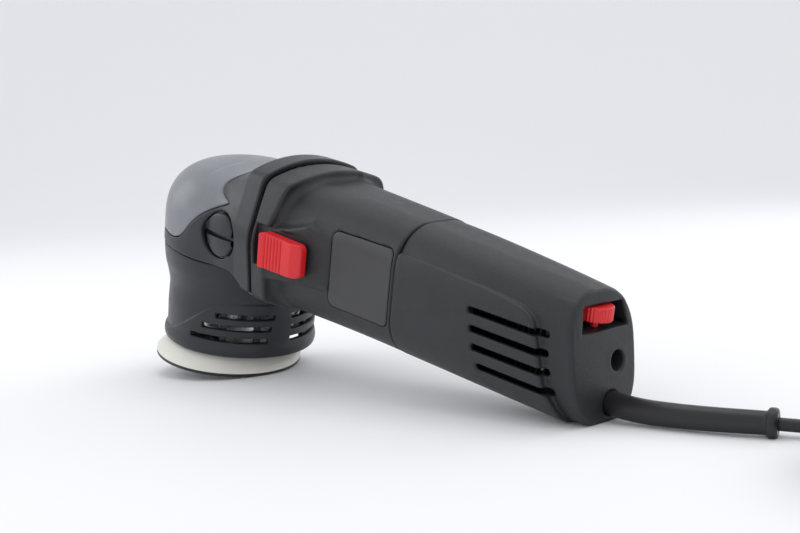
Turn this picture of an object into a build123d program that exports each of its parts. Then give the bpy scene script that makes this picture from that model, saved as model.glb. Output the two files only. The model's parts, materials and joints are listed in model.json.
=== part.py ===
from build123d import *
import math
import os

# Dual action polisher: a 75 mm orbital polisher with a right-angle head and a barrel grip,
# put down on the rear edge of its backing plate and on its tail.
#
# Millimetres. Every piece of the tool is first built in the tool's own frame: the spindle's axis
# is z, the plate's working face is z = 0, x runs towards the tail and y to the user's right.
# AT_REST tilts it until it stands on the floor. The floor frame has the same origin in plan,
# and ROW_SHIFT moves everything so that the origin is under the middle of the tool.

# --- rest position ---
TILT = 12.456
FOOT_X = 36.75
FACE_HEIGHT = FOOT_X * math.sin(math.radians(TILT))
ROW_SHIFT = (-105.12, 0.84, 0.0)

# --- plate and orbit ---
PLATE_RADIUS = 37.5
PLATE_TOP = 8.2
HOOK_THICKNESS = 1.5
ORBIT = 6.0
ORBIT_PHASE = -97.0
PLATE_X = ORBIT * math.cos(math.radians(ORBIT_PHASE))
PLATE_Y = ORBIT * math.sin(math.radians(ORBIT_PHASE))
STUD_RADIUS = 4.0

# --- head ---
HEAD_RADIUS = 41.7
HEAD_TOP = 104.4
SKIRT_BOTTOM = 9.0
SKIRT_INNER = 35.6
SHELL = 2.5
SEAM = 0.4
COLLAR_END = 49.5

# --- drive ---
MOTOR_Z = 73.0
GEAR_TEETH = 32
PINION_TEETH = 9
CONE_OUTER = 22.0
CONE_INNER = 15.5
SPINDLE_RADIUS = 6.0
SHAFT_RADIUS = 4.0
RUNNING_GAP = 0.03

# --- motor barrel and tail ---
FLANGE_FRONT = 51.0
FLANGE_BACK = 67.0
COVER_FRONT = 137.7
END_FACE_X = 234.0
END_FACE_Z = 71.0
STATOR_RADIUS = 23.0
CORE_RADIUS = 14.2
DIAL_X = 226.9
DIAL_RADIUS = 6.5
SCREW_Y = 7.5
SCREW_Z = 68.0

# --- slide switch ---
SLIDER_FRONT = 58.0
SLIDER_BACK = 92.0
SLIDER_LOW = 67.0
SLIDER_HIGH = 85.0

TAILWARDS = (1, 0, 0)

# --- mains cord, in the floor frame ---
CORD_RADIUS = 2.5
SLEEVE_RADIUS = 5.0
COIL_X = 379.0
COIL_Y = 2.3
COIL_RADIUS = 27.5
COIL_WIDTH = 26.0
COIL_HEIGHT = 20.8
COIL_BOTTOM = 0.8
TIE_THICKNESS = 0.7

SLEEVE_ROUTE = [
    (226.0, 3.0, 11.2),
    (244.0, 3.0, 7.2),
    (258.0, 3.4, 5.6),
    (274.0, 4.7, 5.3),
    (290.0, 7.6, 5.3),
    (306.0, 12.3, 5.2),
]
CORD_ROUTE = [(210.4, 3.0, 14.7)] + SLEEVE_ROUTE + [
    (320.0, 18.4, 4.3),
    (334.0, 25.0, 3.6),
    (350.0, 32.0, 3.4),
    (368.0, 38.6, 3.4),
]
CORD_END_ROUTE = [
    (344.4, 21.3, 18.4),
    (348.4, 34.3, 15.4),
    (357.0, 45.3, 11.0),
    (370.0, 52.8, 7.6),
    (384.5, 56.5, 6.85),
    (399.0, 58.3, 6.85),
]


# ---------------------------------------------------------------- plain solids


def post(radius, low, high, x=0.0, y=0.0):
    """An upright cylinder."""
    return Pos(x, y, (low + high) / 2) * Cylinder(radius, high - low)


def bar(radius, front, back, y=0.0, z=MOTOR_Z):
    """A cylinder along x."""
    return Pos((front + back) / 2, y, z) * Rot(0, 90, 0) * Cylinder(radius, back - front)


def block(x0, x1, y0, y1, z0, z1):
    """A box between two corners."""
    return Pos((x0 + x1) / 2, (y0 + y1) / 2, (z0 + z1) / 2) * Box(x1 - x0, y1 - y0, z1 - z0)


def turned(points):
    """A solid of revolution about z, from (radius, height) corners."""
    return revolve(make_face(Plane.XZ * Polyline(*points, close=True)), Axis.Z)


def turned_curve(curve, corners):
    """A solid of revolution about z: a smooth outer line closed by straight corners."""
    outer = Plane.XZ * Spline(*curve)
    inner = Plane.XZ * Polyline(curve[-1], *corners, curve[0])
    return revolve(make_face([outer, inner]), Axis.Z)


def prism_xz(points, low, high):
    """A prism across the tool: an outline in the x-z plane between two values of y."""
    face = make_face(Plane.XZ * Polyline(*points, close=True))
    return Pos(0, low, 0) * extrude(face, high - low, dir=(0, 1, 0))


def prism_xy(points, low, high):
    """An upright prism on an outline seen from above."""
    face = make_face(Polyline(*points, close=True))
    return Pos(0, 0, low) * extrude(face, high - low, dir=(0, 0, 1))


def joined(pieces):
    """Fuses a list of solids into one."""
    whole = pieces[0]
    for piece in pieces[1:]:
        whole = whole + piece
    return whole


def around(count, piece, axis_x=0.0, axis_y=0.0):
    """Copies of a piece, evenly spaced about an upright axis."""
    there = Pos(axis_x, axis_y, 0)
    back = Pos(-axis_x, -axis_y, 0)
    return [there * Rot(0, 0, 360 * k / count) * back * piece for k in range(count)]


def ball_bearing(outer, bore, width):
    """A shielded ball bearing about z, its two rings joined by recessed shields."""
    land = (outer - bore) * 0.28
    dish = 0.5
    half = width / 2
    return turned([
        (bore, -half), (bore + land, -half), (bore + land, dish - half), (outer - land, dish - half),
        (outer - land, -half), (outer, -half), (outer, half), (outer - land, half),
        (outer - land, half - dish), (bore + land, half - dish), (bore + land, half), (bore, half),
    ])


def along_x(piece, x, y=0.0, z=MOTOR_Z):
    """Stands a piece that was turned about z on the x axis."""
    return Pos(x, y, z) * Rot(0, 90, 0) * piece


# ---------------------------------------------------------------- plate and orbit


def hook_layer():
    disc = post(PLATE_RADIUS, 0, HOOK_THICKNESS, PLATE_X, PLATE_Y)
    return disc - post(8.0, -1, HOOK_THICKNESS + 1, PLATE_X, PLATE_Y)


def backing_plate():
    cone = turned([
        (8.0, HOOK_THICKNESS), (PLATE_RADIUS, HOOK_THICKNESS), (PLATE_RADIUS, 2.4), (36.0, 3.9),
        (30.5, PLATE_TOP), (15.0, PLATE_TOP), (15.0, 6.0), (8.0, 6.0),
    ])
    return Pos(PLATE_X, PLATE_Y, 0) * cone


def plate_hub():
    hub = turned([
        (4.1, 2.5), (8.0, 2.5), (8.0, 6.0), (15.0, 6.0), (15.0, 9.5), (9.0, 9.5), (9.0, 12.0),
        (4.1, 12.0),
    ])
    return Pos(PLATE_X, PLATE_Y, 0) * hub


def plate_bolt():
    shank = post(2.95, 2.2, 22.0, PLATE_X, PLATE_Y)
    head = post(6.5, 0.4, 2.5, PLATE_X, PLATE_Y)
    socket = Pos(PLATE_X, PLATE_Y, 0) * extrude(RegularPolygon(2.9, 6), 1.8)
    return head + shank - socket


def eccentric_stud():
    flange = post(8.5, 12.0, 14.5)
    stud = flange + post(STUD_RADIUS, 14.0, 32.5)
    return Pos(PLATE_X, PLATE_Y, 0) * stud - post(2.95, 11.0, 22.0, PLATE_X, PLATE_Y)


def plate_bearing(middle):
    return Pos(PLATE_X, PLATE_Y, middle) * ball_bearing(11.0, STUD_RADIUS + RUNNING_GAP, 7.0)


def counterweight():
    barrel = post(14.0, 15.5, 36.0, PLATE_X, PLATE_Y)
    pocket = post(11.0, 14.0, 33.5, PLATE_X, PLATE_Y)
    weight = post(30.0, 17.0, 28.0) & block(-30, 30, 4.0, 31, 17.0, 28.0)
    web = block(-10, 10, -4, 6, 24.0, 36.0)
    hub = post(9.0, 30.0, 39.5)
    weight = Rot(0, 0, ORBIT_PHASE + 90) * (weight + web)
    return barrel + weight + hub - pocket - post(SPINDLE_RADIUS, 34.6, 45.0)


def bearing_clip():
    ring = post(11.0, 15.6, 16.8, PLATE_X, PLATE_Y) - post(9.2, 15.0, 17.5, PLATE_X, PLATE_Y)
    return ring


# ---------------------------------------------------------------- spindle and bevel gears


def bevel_teeth(count, cone, first):
    """Straight bevel teeth round z, with the apex at the origin and the gear at positive z."""
    slope = (math.sin(cone), math.cos(cone))
    rise = (math.cos(cone), -math.sin(cone))
    size = CONE_OUTER * 2 * slope[0] / count

    def corner(scale, height, width):
        reach = CONE_OUTER * scale
        lift = height * size * scale
        out = reach * slope[0] + lift * rise[0]
        up = reach * slope[1] + lift * rise[1]
        return Vector(out, width * size * scale, up)

    def face(scale):
        ring = [(-1.45, -1.0), (0.85, -0.31), (0.85, 0.31), (-1.45, 1.0)]
        return make_face(Polyline(*[corner(scale, h, w) for h, w in ring], close=True))

    tooth = loft([face(CONE_INNER / CONE_OUTER), face(1.0)], ruled=True)
    return [Rot(0, 0, 360 * (k + first) / count) * tooth for k in range(count)]


def root_line(count, cone):
    """Inner and outer ends of the root line, as (radius, distance along the axis)."""
    slope = (math.sin(cone), math.cos(cone))
    rise = (math.cos(cone), -math.sin(cone))
    size = CONE_OUTER * 2 * slope[0] / count
    ends = []
    for reach in (CONE_INNER, CONE_OUTER):
        drop = -1.3 * size * reach / CONE_OUTER
        ends.append((reach * slope[0] + drop * rise[0], reach * slope[1] + drop * rise[1]))
    return ends


def crown_gear():
    cone = math.atan(GEAR_TEETH / PINION_TEETH)
    near, far = root_line(GEAR_TEETH, cone)
    body = turned([
        (SPINDLE_RADIUS, near[1]), near, far, (far[0], 14.5), (17.0, 16.5), (10.0, 16.5), (10.0, 19.4),
        (SPINDLE_RADIUS, 19.4),
    ])
    gear = joined([body] + bevel_teeth(GEAR_TEETH, cone, 0.0))
    return Pos(0, 0, MOTOR_Z) * Rot(180, 0, 0) * gear


def pinion():
    cone = math.atan(PINION_TEETH / GEAR_TEETH)
    near, far = root_line(PINION_TEETH, cone)
    body = turned([
        (2.6, near[1]), near, far, (far[0], far[1] + 1.5), (6.5, far[1] + 1.5), (6.5, 28.0), (2.6, 28.0),
    ])
    gear = joined([body] + bevel_teeth(PINION_TEETH, cone, 0.5))
    return along_x(gear, 0.0)


def spindle():
    shaft = turned([
        (0, 34.6), (SPINDLE_RADIUS, 34.6), (SPINDLE_RADIUS, 61.5), (5.0, 61.5), (5.0, 80.0), (3.0, 80.0),
        (3.0, 91.0), (0, 91.0),
    ])
    return shaft


def lower_spindle_bearing():
    return Pos(0, 0, 45.0) * ball_bearing(14.0, SPINDLE_RADIUS + RUNNING_GAP, 8.0)


def upper_spindle_bearing():
    return Pos(0, 0, 87.0) * ball_bearing(9.5, 3.0 + RUNNING_GAP, 6.0)


def bearing_cover():
    ring = post(22.0, 39.6, 41.0) - post(9.6, 39.0, 42.0)
    holes = around(3, post(1.8, 39.0, 42.0, 19.0))
    return ring - joined(holes)


def cover_ring_screws():
    one = post(1.7, 40.0, 46.0, 19.0) + post(2.9, 38.0, 39.6, 19.0) + post(1.7, 39.0, 41.0, 19.0)
    return around(3, one)


# ---------------------------------------------------------------- head shells


def flange_outline(x, inset=0.0, low=42.0):
    """The eight-sided rim between head and motor, as a face across the x axis."""
    shoulder = (29.0 - inset * 0.5, 105.3 - inset)
    side = (37.3 - inset, 78.0)
    foot = (34.5 - inset, 49.0 + inset * 0.5)
    where = Plane(origin=(x, 0, 0), x_dir=(0, 1, 0), z_dir=(1, 0, 0))
    rim = [
        ThreePointArc((-shoulder[0], shoulder[1]), (0, 111.2 - inset), shoulder),
        Line(shoulder, side),
        Line(side, foot),
        ThreePointArc(foot, (0, low + inset), (-foot[0], foot[1])),
        Line((-foot[0], foot[1]), (-side[0], side[1])),
        Line((-side[0], side[1]), (-shoulder[0], shoulder[1])),
    ]
    face = make_face(rim)
    return where * fillet(face.vertices(), 6.0)


def head_outline(x, inset=0.0):
    """The head's own section where the rim's flare begins, with the rim's six corners."""
    shoulder = (27.0 - inset * 0.5, 98.0 - inset)
    side = (39.5 - inset, 76.0)
    foot = (37.0 - inset, 54.0 + inset * 0.5)
    where = Plane(origin=(x, 0, 0), x_dir=(0, 1, 0), z_dir=(1, 0, 0))
    rim = [
        ThreePointArc((-shoulder[0], shoulder[1]), (0, 103.8 - inset), shoulder),
        Line(shoulder, side),
        Line(side, foot),
        ThreePointArc(foot, (0, 50.0 + inset), (-foot[0], foot[1])),
        Line((-foot[0], foot[1]), (-side[0], side[1])),
        Line((-side[0], side[1]), (-shoulder[0], shoulder[1])),
    ]
    face = make_face(rim)
    return where * fillet(face.vertices(), 6.0)


def head_solid(inset):
    """Dome and flare of the head; a positive inset gives the hollow inside."""
    r = HEAD_RADIUS - inset
    top = HEAD_TOP - inset
    dome = [
        (r - 0.6, 54.0), (r, 62.0), (r, 71.0), (r - 1.6, 84.2), (r - 5.8, 92.9), (r - 14.0, top - 4.5),
        (r - 23.0, top - 1.2), (0, top),
    ]
    body = turned_curve(dome, [(0, 40.0), (r - 2.4, 40.0)])
    flare = loft([head_outline(10.0, inset), flange_outline(COLLAR_END + min(inset, 1.0), inset)])
    return body + flare


def head_shell():
    return head_solid(0.0) - head_solid(SHELL)


def below_seam(drop):
    """Everything under the seam between neck and collar."""
    seam = [
        (-60, 61.3), (-19, 59.6), (10, 57.7), (26, 57.4), (35, 56.7), (42, 51.9), (46, 50.0), (70, 50.0),
    ]
    return prism_xz([(x, z - drop) for x, z in seam] + [(70, -5), (-60, -5)], -60, 60)


def cap_region(grow):
    """The front and top of the dome that the grey cap covers."""
    edge = [
        (-60, 66.0), (-19, 66.5), (-11, 65.8), (-4, 66.0), (1, 68.4), (6.2, 73.9), (11.4, 79.7),
        (18, 85.0), (30, 90.3), (23.0, 94.5), (23.0, 97.5), (27, 102.0), (36, 108.0),
    ]
    region = prism_xz(edge + [(36, 130), (-60, 130)], -60, 60)
    if grow == 0:
        return region
    return joined([Pos(x, 0, z) * region for x, z in ((grow, -grow), (grow, grow), (0, 0))])


def head_cap():
    return (head_shell() & cap_region(0.0)) - block(34.0, 60.0, -60, 60, 90, 130)


def plug_recess(side):
    """The round seat of a side-handle plug."""
    return Pos(24.0, side * 36.0, 74.0) * Rot(90, 0, 0) * Cylinder(12.0, 18.0)


def head_collar():
    shell = head_shell() - below_seam(0.0) - cap_region(SEAM)
    for side in (-1, 1):
        shell = shell - plug_recess(side)
    return biggest(shell)


def biggest(shape):
    """The largest solid of a cut shape."""
    return max(shape.solids(), key=lambda s: s.volume)


# Rows of air slots: height, where the first group starts and ends, where the second ends, in degrees.
SKIRT_SLOTS = [(18.3, -78.0, -16.0, 95.0), (24.4, -68.0, -13.5, 82.0), (30.4, -57.0, -11.0, 70.0)]
SKIRT_SECOND_START = 3.0


def neck_shroud():
    curve = [
        (38.2, 10.2), (38.8, 12.4), (38.4, 15.6), (38.0, 20.0), (38.1, 28.0), (37.9, 34.0), (37.9, 39.2),
        (39.2, 45.5), (40.4, 50.0), (41.2, 56.0), (41.3, 62.0),
    ]
    inner = [
        (38.6, 62.0), (38.4, 54.0), (SKIRT_INNER, 44.0), (SKIRT_INNER, SKIRT_BOTTOM), (37.0, SKIRT_BOTTOM),
    ]
    shell = (turned_curve(curve, inner) & below_seam(SEAM)) - bar(28.0, 20.0, 60.0)
    for height, start, end, far_end in SKIRT_SLOTS:
        shell = shell - skirt_slot(height, start, end - start)
        shell = shell - skirt_slot(height, SKIRT_SECOND_START, far_end - SKIRT_SECOND_START)
    return biggest(shell)


def skirt_slot(height, start, sweep):
    """One horizontal air slot, from an angle about the spindle over a sweep of degrees."""
    ring = post(45.0, height - 1.2, height + 1.2) - post(30.0, height - 2, height + 2)
    reach = 60.0
    steps = [start + sweep * k / 4 for k in range(5)]
    rim = [(reach * math.cos(math.radians(a)), reach * math.sin(math.radians(a))) for a in steps]
    return ring & prism_xy([(0, 0)] + rim, height - 2, height + 2)


def side_plug(side):
    """A slotted plug that closes the thread for a side handle."""
    face = 11.2
    plug = Pos(24.0, side * 35.5, 74.0) * Rot(90, 0, 0) * Cylinder(face, 5.0)
    thread = Pos(24.0, side * 31.5, 74.0) * Rot(90, 0, 0) * Cylinder(5.0, 4.0)
    slot = block(12.0, 36.0, side * 38.0 - 1.6, side * 38.0 + 1.6, 73.0, 75.0)
    return plug + thread - slot


# ---------------------------------------------------------------- gearbox


def gearbox_housing():
    """The cast housing: a cup round the gears, the motor's rim and the side handle's threads."""
    cup = turned([(0, 49.6), (33.0, 49.6), (33.0, 90.5), (26.0, 95.0), (0, 95.0)])
    body = cup + post(24.0, 41.0, 52.0) + bar(27.5, 21.0, 47.0)
    rim = extrude(flange_outline(46.0, 3.5), 4.6, dir=TAILWARDS)
    foot = extrude(flange_outline(46.0, 0.9), 4.6, dir=TAILWARDS) & block(40, 52, -60, 60, 40, 49.4)
    solid = body + rim + foot
    for side in (-1, 1):
        solid = solid + Pos(24.0, side * 24.5, 74.0) * Rot(90, 0, 0) * Cylinder(8.5, 17.0)
    solid = solid - post(29.5, 53.0, 91.2) + post(12.5, 84.0, 93.0)
    solid = solid - post(14.0, 40.0, 49.0) - post(SPINDLE_RADIUS + 1.2, 40.0, 54.0)
    solid = solid - post(9.5, 83.0, 91.0) - bar(23.5, 22.0, 34.5) - bar(7.5, 30.0, 40.0)
    solid = solid - bar(11.0, 36.0, 60.0) - joined(around(3, post(1.7, 40.0, 46.0, 19.0)))
    for side in (-1, 1):
        solid = solid - Pos(24.0, side * 32.4, 74.0) * Rot(90, 0, 0) * Cylinder(5.1, 6.0)
    return biggest(solid - housing_screw_holes(1.9))


SCREW_CORNERS = [(-23.0, 98.0), (23.0, 98.0), (-27.0, 53.0), (27.0, 53.0)]


def housing_screw_holes(radius):
    return joined([bar(radius, 40.0, 60.0, y, z) for y, z in SCREW_CORNERS])


def gearbox_screws():
    screws = []
    for y, z in SCREW_CORNERS:
        screws.append(bar(1.9, 46.0, 55.0, y, z) + bar(3.4, 55.0, 58.0, y, z))
    return screws


def front_armature_bearing():
    return along_x(ball_bearing(11.0, SHAFT_RADIUS + RUNNING_GAP, 7.0), 39.5)


def bearing_retainer():
    return bar(14.0, 50.7, 52.0) - bar(6.5, 50.0, 53.0)


# ---------------------------------------------------------------- motor


def armature_shaft():
    return bar(2.6, 16.0, 30.0) + bar(SHAFT_RADIUS, 28.0, 138.0) + bar(3.5, 138.0, 146.0)


def armature_core():
    core = bar(CORE_RADIUS, 76.0, 112.0) - bar(SHAFT_RADIUS, 70.0, 120.0)
    slots = []
    for k in range(12):
        cut = block(75.0, 113.0, -0.9, 0.9, 10.5, 16.0)
        slots.append(Pos(0, 0, MOTOR_Z) * Rot(30 * k, 0, 0) * cut)
    return core - joined(slots)


def winding_head(front, back, radius):
    return fillet((bar(radius, front, back) - bar(SHAFT_RADIUS, front - 1, back + 1)).edges().filter_by(
        lambda e: e.length > 60), 1.5)


def armature_windings():
    return [winding_head(70.5, 76.0, 12.5), winding_head(112.0, 119.5, 12.5)]


def commutator():
    body = bar(9.5, 121.5, 133.5) + bar(11.0, 120.0, 121.5) - bar(SHAFT_RADIUS, 119.0, 134.0)
    cuts = []
    for k in range(24):
        cut = block(122.5, 134.0, -0.25, 0.25, 9.0, 10.0)
        cuts.append(Pos(0, 0, MOTOR_Z) * Rot(15 * k, 0, 0) * cut)
    return body - joined(cuts)


def cooling_fan():
    hub = bar(9.0, 54.5, 64.5) - bar(SHAFT_RADIUS, 50.0, 70.0)
    disc = bar(23.0, 62.5, 64.5) - bar(8.0, 60.0, 66.0)
    blades = []
    for k in range(9):
        blade = Pos(0, 0, 15.2) * Box(8.2, 1.6, 14.6)
        blades.append(Pos(58.6, 0, MOTOR_Z) * Rot(40 * k, 0, 0) * blade)
    return joined([hub, disc] + blades)


def fan_baffle():
    return bar(23.4, 66.4, 68.2) - bar(15.0, 66.0, 69.0)


def stator_core():
    ring = bar(STATOR_RADIUS, 74.0, 114.0) - bar(19.2, 70.0, 120.0)
    poles = bar(19.6, 74.0, 114.0) - bar(CORE_RADIUS + 0.4, 70.0, 120.0)
    window = 13.5
    poles = poles - block(70, 120, -window, window, MOTOR_Z - 25, MOTOR_Z + 25)
    return ring + poles


def field_coils():
    """Two flat field windings, above and below the armature."""
    coils = []
    for low, high in ((MOTOR_Z - 25, MOTOR_Z - 4), (MOTOR_Z + 4, MOTOR_Z + 25)):
        arc = bar(18.8, 70.0, 118.0) - bar(15.0, 60.0, 130.0)
        coils.append(biggest(arc & block(60, 130, -12.8, 12.8, low, high)))
    return coils


def brush_holders():
    holders = []
    for side in (-1, 1):
        outer = upright_box(127.5, 12.0, 6.5, 11.5, 25.5, side)
        inner = upright_box(127.5, 9.2, 5.2, 10.0, 24.5, side)
        holders.append(outer - inner)
    return holders


def upright_box(x, length, width, near, far, side):
    """A box that stands off the motor's axis, above it or below it."""
    z0, z1 = sorted((MOTOR_Z + side * near, MOTOR_Z + side * far))
    return block(x - length / 2, x + length / 2, -width / 2, width / 2, z0, z1)


def carbon_brushes():
    return [upright_box(127.5, 8.8, 4.8, 9.6, 18.5, side) for side in (-1, 1)]


def brush_springs():
    """A flat stack of coils behind each brush."""
    springs = []
    for side in (-1, 1):
        turns = []
        for k in range(5):
            z = MOTOR_Z + side * (19.0 + 1.1 * k)
            turns.append(Pos(127.5, 0, z) * Torus(1.7, 0.42))
        stem_low, stem_high = sorted((MOTOR_Z + side * 18.5, MOTOR_Z + side * 24.5))
        stem = post(1.5, stem_low, stem_high, 127.5)
        springs.append(joined([stem] + turns))
    return springs


def rear_armature_bearing():
    return along_x(ball_bearing(9.5, 3.5 + RUNNING_GAP, 6.0), 143.0)


def bearing_sleeve():
    return bar(11.0, 139.6, 146.2) - bar(9.5, 139.0, 147.0)


def bearing_bracket():
    plate = hollow_section(146.2, 149.2)
    boss = bar(13.5, 139.6, 149.2)
    leg = bar(5.0, 149.0, 205.0, SCREW_Y, SCREW_Z)
    solid = plate + boss + leg - bar(11.0, 139.0, 146.2) - bar(2.0, 190.0, 206.0, SCREW_Y, SCREW_Z)
    rod_gap = block(140, 150, -24.0, -15.0, 86.0, 94.0)
    air = [block(140, 150, -19, 19, low, low + 9.0) for low in (47.5, 88.0)]
    screws = [bar(1.6, 140.0, 150.0, y, MOTOR_Z) for y in (-18.5, 18.5)]
    return biggest(solid - rod_gap - joined(air + screws))


def bracket_screws():
    screws = []
    for side in (-1, 1):
        shank = bar(1.5, 138.0, 149.3, side * 18.5)
        screws.append(shank + bar(2.8, 149.2, 151.2, side * 18.5))
    return screws


# ---------------------------------------------------------------- barrel shells


def section(x, half, top, bottom, corner):
    """A rounded section across the x axis."""
    where = Plane(origin=(x, 0, (top + bottom) / 2), x_dir=(0, 1, 0), z_dir=(1, 0, 0))
    return where * RectangleRounded(2 * half, top - bottom, corner)


# Sections: distance along x, half width, top, bottom and corner radius.
BARREL = [
    (60.0, 31.0, 107.0, 43.0, 20.0), (98.0, 27.0, 106.2, 43.0, 20.0), (137.7, 26.0, 104.6, 43.0, 19.5),
]
TAIL = [
    (137.7, 26.0, 104.6, 43.0, 19.5), (180.0, 25.3, 102.6, 42.3, 19.0), (223.0, 24.0, 99.9, 41.7, 18.0),
]
TIP = [
    (200.0, 22.8, 101.2, 42.4, 18.0), (225.0, 22.0, 99.5, 41.6, 17.0), (250.0, 20.0, 97.6, 40.8, 15.5),
]


def barrel_solid(sections, inset):
    rows = [section(x, h - inset, t - inset, b + inset, c - inset) for x, h, t, b, c in sections]
    return loft(rows)


def hollow_section(front, back):
    """A slice of the space inside the tail shell."""
    return barrel_solid(TAIL, SHELL + 0.1) & block(front, back, -60, 60, 0, 130)


def end_cut(offset):
    """Everything behind the slanted end face; the offset moves the face towards the head."""
    lean = math.tan(math.radians(TILT))
    x = END_FACE_X - offset
    low = x + (END_FACE_Z - 30) * lean
    high = x - (110 - END_FACE_Z) * lean
    return prism_xz([(low, 30), (300, 30), (300, 110), (high, 110)], -60, 60)


def floor_cut():
    """Everything under the flat that the tail rests on."""
    slope = math.tan(math.radians(TILT))
    level = -FACE_HEIGHT / math.cos(math.radians(TILT)) + 0.02
    return prism_xz([(200, level + 200 * slope), (260, level + 260 * slope), (260, 20), (200, 20)], -60, 60)


def switch_pod():
    """The raised cheek that carries the slide switch on the user's left."""
    where_front = Plane(origin=(62.0, -24.0, 77.0), x_dir=(0, 1, 0), z_dir=(1, 0, 0))
    where_back = Plane(origin=(110.0, -20.0, 77.0), x_dir=(0, 1, 0), z_dir=(1, 0, 0))
    front = where_front * RectangleRounded(25.0, 34.0, 5.0)
    return loft([front, where_back * RectangleRounded(13.6, 26.0, 5.0)])


def switch_channel():
    """The recess that the slider runs in, open to the outside."""
    outline = [(51.0, -45), (51.0, -33.4), (90.0, -31.2), (104.0, -26.6), (108.5, -26.0), (112.0, -45)]
    return prism_xy(outline, SLIDER_LOW - 0.5, SLIDER_HIGH + 0.5)


def label_seat(side, depth, margin):
    """The rounded area beside the barrel that an inlay fills, to a depth under the skin."""
    skin = barrel_solid(BARREL, -0.4) - barrel_solid(BARREL, depth)
    window = RectangleRounded(38.0 + 2 * margin, 35.0 + 2 * margin, 3.5 + margin)
    where = Plane(origin=(116.8, side * 40.0, 74.5), x_dir=(1, 0, 0), z_dir=(0, -side, 0))
    return biggest(skin & extrude(where * window, 25.0, dir=(0, -side, 0)))


def side_inlay(side):
    return label_seat(side, 0.8, 0.0)


def motor_housing():
    rim = extrude(flange_outline(FLANGE_FRONT), FLANGE_BACK - FLANGE_FRONT, dir=TAILWARDS)
    rim = rim + loft([flange_outline(FLANGE_BACK), flange_outline(FLANGE_BACK + 4.0, 6.0, 41.0)])
    outer = barrel_solid(BARREL, 0.0) + rim + switch_pod()
    front_room = extrude(flange_outline(FLANGE_FRONT - 1.0, 4.0, 43.0), 14.0, dir=TAILWARDS)
    outer = outer - barrel_solid(BARREL, SHELL) - front_room
    outer = outer & block(FLANGE_FRONT, COVER_FRONT, -60, 60, 30, 120)
    outer = outer - switch_channel() - block(58.5, 80.5, -40, -20, 72.5, 79.5)
    for side in (-1, 1):
        outer = outer - label_seat(side, 1.0, 0.15)
    ring = bar(26.0, 72.0, 74.0) & barrel_solid(BARREL, SHELL - 0.2)
    seat = ring - bar(21.0, 70.0, 80.0) - block(70.0, 76.0, -30, -14, 70, 100)
    bosses = joined([bar(5.5, 51.0, 55.0, y, z) - bar(2.1, 50, 56, y, z) for y, z in SCREW_CORNERS])
    return biggest(outer + seat + bosses - joined([bar(3.8, 55.0, 60.0, y, z) for y, z in SCREW_CORNERS]))


def rear_cover():
    outer = (barrel_solid(TAIL, 0.0) + barrel_solid(TIP, 0.0)) - end_cut(0.0) - floor_cut()
    inside = barrel_solid(TAIL, SHELL) + barrel_solid(TIP, SHELL)
    shell = outer - (inside - end_cut(3.0))
    pocket_wall = block(219.0, 240.0, -16.0, 16.0, 80.2, 93.2) & outer
    boss = bar(6.2, 206.0, 240.0, SCREW_Y, SCREW_Z) & outer
    shell = shell + pocket_wall + boss - dial_pocket()
    shell = shell - bar(4.2, 216.0, 250.0, SCREW_Y, SCREW_Z) - bar(2.1, 200.0, 220.0, SCREW_Y, SCREW_Z)
    for side in (-1, 1):
        for row in range(4):
            shell = shell - vent_slot(row, side)
    return biggest(shell - sleeve_hole())


def dial_pocket():
    """The window in the end face, wider at its bottom, with the room for the dial behind it."""
    window = [(-12.0, 91.6), (12.0, 91.6), (14.4, 81.6), (-14.4, 81.6)]
    where = Plane(origin=(220.0, 0, 0), x_dir=(0, 1, 0), z_dir=(1, 0, 0))
    opening = extrude(where * make_face(Polyline(*window, close=True)), 40.0, dir=TAILWARDS)
    return opening + post(2.2, 78.0, 84.0, DIAL_X)


SLOT_ROWS = [(182.8, 222.5, 78.9), (184.5, 223.2, 71.3), (186.5, 225.0, 63.9), (189.9, 228.0, 56.4)]
SLOT_HALF = 1.3


def vent_slot(row, side):
    """One of the four long air slots in each side of the tail."""
    front, back, z = SLOT_ROWS[row]
    y0, y1 = sorted((side * 15.0, side * 35.0))
    middle = block(front, back, y0, y1, z - SLOT_HALF, z + SLOT_HALF)
    ends = [Pos(x, side * 25.0, z) * Rot(90, 0, 0) * Cylinder(SLOT_HALF, 20.0) for x in (front, back)]
    return joined([middle] + ends)


def vent_screens():
    """A perforated screen behind the slots on each side."""
    screens = []
    for side in (-1, 1):
        y0, y1 = sorted((side * 19.2, side * 18.4))
        plate = block(180.0, 218.0, y0, y1, 54.0, 81.5)
        gaps = [block(182.0 + 3.0 * k, 183.6 + 3.0 * k, -30, 30, 56.0, 79.5) for k in range(12)]
        screens.append(plate - joined(gaps))
    return screens


def cover_screw():
    return bar(2.0, 192.0, 213.0, SCREW_Y, SCREW_Z) + bar(3.7, 216.0, 219.0, SCREW_Y, SCREW_Z) + bar(
        2.0, 212.0, 217.0, SCREW_Y, SCREW_Z)


# ---------------------------------------------------------------- switch, dial, electrics


def slide_button():
    """The red slider: ribbed in front, smooth behind, with a stem through the housing wall."""
    plan = [
        (SLIDER_FRONT, -33.8), (SLIDER_FRONT, -38.2), (SLIDER_FRONT + 2.0, -40.0), (74.0, -39.4),
        (88.0, -38.8), (SLIDER_BACK, -35.6), (SLIDER_BACK, -32.2), (90.0, -32.2), (76.0, -33.1),
    ]
    button = prism_xy(plan, SLIDER_LOW, SLIDER_HIGH)
    grooves = [block(61.5 + 2.4 * k, 62.7 + 2.4 * k, -42.0, -38.9, 60.0, 90.0) for k in range(6)]
    stem = block(65.0, 77.0, -34.5, -25.9, 73.2, 78.8)
    return button - joined(grooves) + stem


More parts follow.
